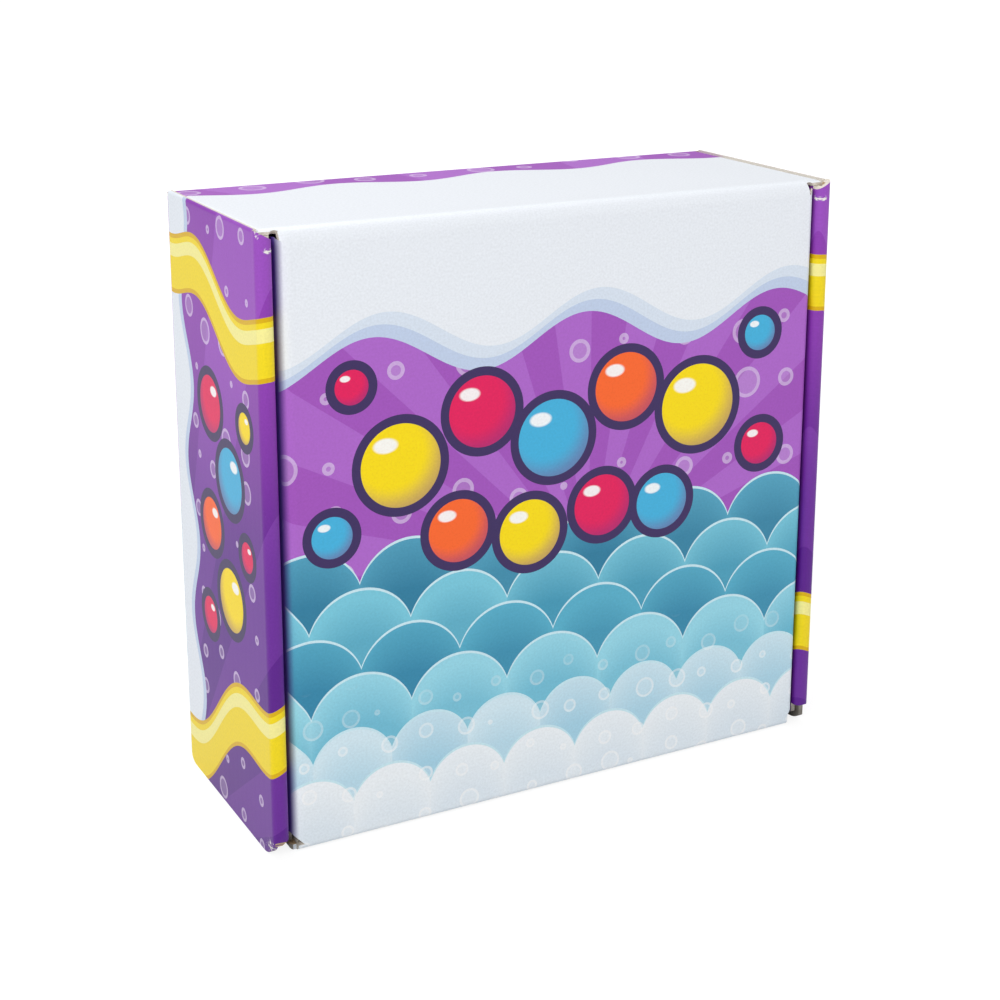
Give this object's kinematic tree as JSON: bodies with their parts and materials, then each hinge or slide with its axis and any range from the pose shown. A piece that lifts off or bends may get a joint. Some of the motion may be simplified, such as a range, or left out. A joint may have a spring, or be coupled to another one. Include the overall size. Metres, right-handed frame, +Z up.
{
  "type": "boxed bubble blower set",
  "caption": "Folding corrugated carton with a hinged lid, holding a mouth-blown bubble snake blower, a dip dish and a bottle of bubble solution on a die-cut insert.",
  "frame": {"origin": "middle of the underside of the closed box as it stands on the lower edges of its side walls", "axes": "+Z up, +X along the width to the viewer's right, +Y from the lid to the base"},
  "size_m": [0.168, 0.066, 0.163],
  "materials": {
    "printed_board": "printed liner with a satin varnish",
    "raw_board": "unprinted kraft liner",
    "insert_board": "white-lined board",
    "yellow_plastic": "moulded, glossy",
    "terry_cloth": "cotton terry",
    "elastic_band": "latex band",
    "dish_plastic": "moulded, satin",
    "clear_bottle": "blow-moulded, clear",
    "cap_plastic": "moulded, ribbed",
    "foam_liner": "foamed sheet",
    "solution": "clear liquid"
  },
  "bodies": {
    "tray": {"base_panel": "printed_board", "rear_wall": "printed_board", "front_wall": "raw_board", "left_outer_wall": "printed_board", "right_outer_wall": "printed_board", "left_roll_edge": "printed_board", "right_roll_edge": "printed_board", "left_inner_wall": "raw_board", "right_inner_wall": "raw_board", "rear_left_corner_flap": "raw_board", "rear_right_corner_flap": "raw_board", "front_left_corner_flap": "raw_board", "front_right_corner_flap": "raw_board", "insert_platform": "insert_board", "insert_left_leg": "insert_board", "insert_right_leg": "insert_board", "insert_lower_leg": "insert_board", "insert_upper_leg": "insert_board", "blower_body": "yellow_plastic", "blower_cloth": "terry_cloth", "blower_band": "elastic_band", "dip_dish": "dish_plastic", "solution_bottle": "clear_bottle", "bubble_solution": "solution"},
    "lid": {"lid_panel": "printed_board"},
    "front_flap": {"front_flap": "printed_board", "left_ear": "raw_board", "right_ear": "raw_board"},
    "left_wing": {"left_wing": "raw_board"},
    "right_wing": {"right_wing": "raw_board"},
    "cap_liner": {"cap_liner": "foam_liner"},
    "cap": {"bottle_cap": "cap_plastic"}
  },
  "joints": [
    {"name": "lid_crease", "type": "hinge", "parent": "tray", "child": "lid", "pos_m": [0, -0.0318, 0.1627], "axis": [-1, 0, 0], "range_deg": [0, 180]},
    {"name": "front_flap_crease", "type": "hinge", "parent": "lid", "child": "front_flap", "pos_m": [0, -0.0318, 0.0007], "axis": [-1, 0, 0], "range_deg": [0, 135]},
    {"name": "left_wing_crease", "type": "hinge", "parent": "lid", "child": "left_wing", "pos_m": [-0.0773, -0.0304, 0.094], "axis": [0, 0, -1], "range_deg": [0, 80]},
    {"name": "right_wing_crease", "type": "hinge", "parent": "lid", "child": "right_wing", "pos_m": [0.0773, -0.0304, 0.094], "axis": [0, 0, 1], "range_deg": [0, 80]},
    {"name": "cap_rise", "type": "slide", "parent": "tray", "child": "cap_liner", "axis": [0, 0, 1], "range_m": [0, 0.0045]},
    {"name": "cap_turn", "type": "hinge", "parent": "cap_liner", "child": "cap", "pos_m": [0.0454, 0.0103, 0.13], "axis": [0, 0, 1], "range_deg": [0, 540]}
  ],
  "couplings": [
    {"joint": "cap_rise", "follows": "cap_turn", "m_per_rad": 0.000477}
  ]
}
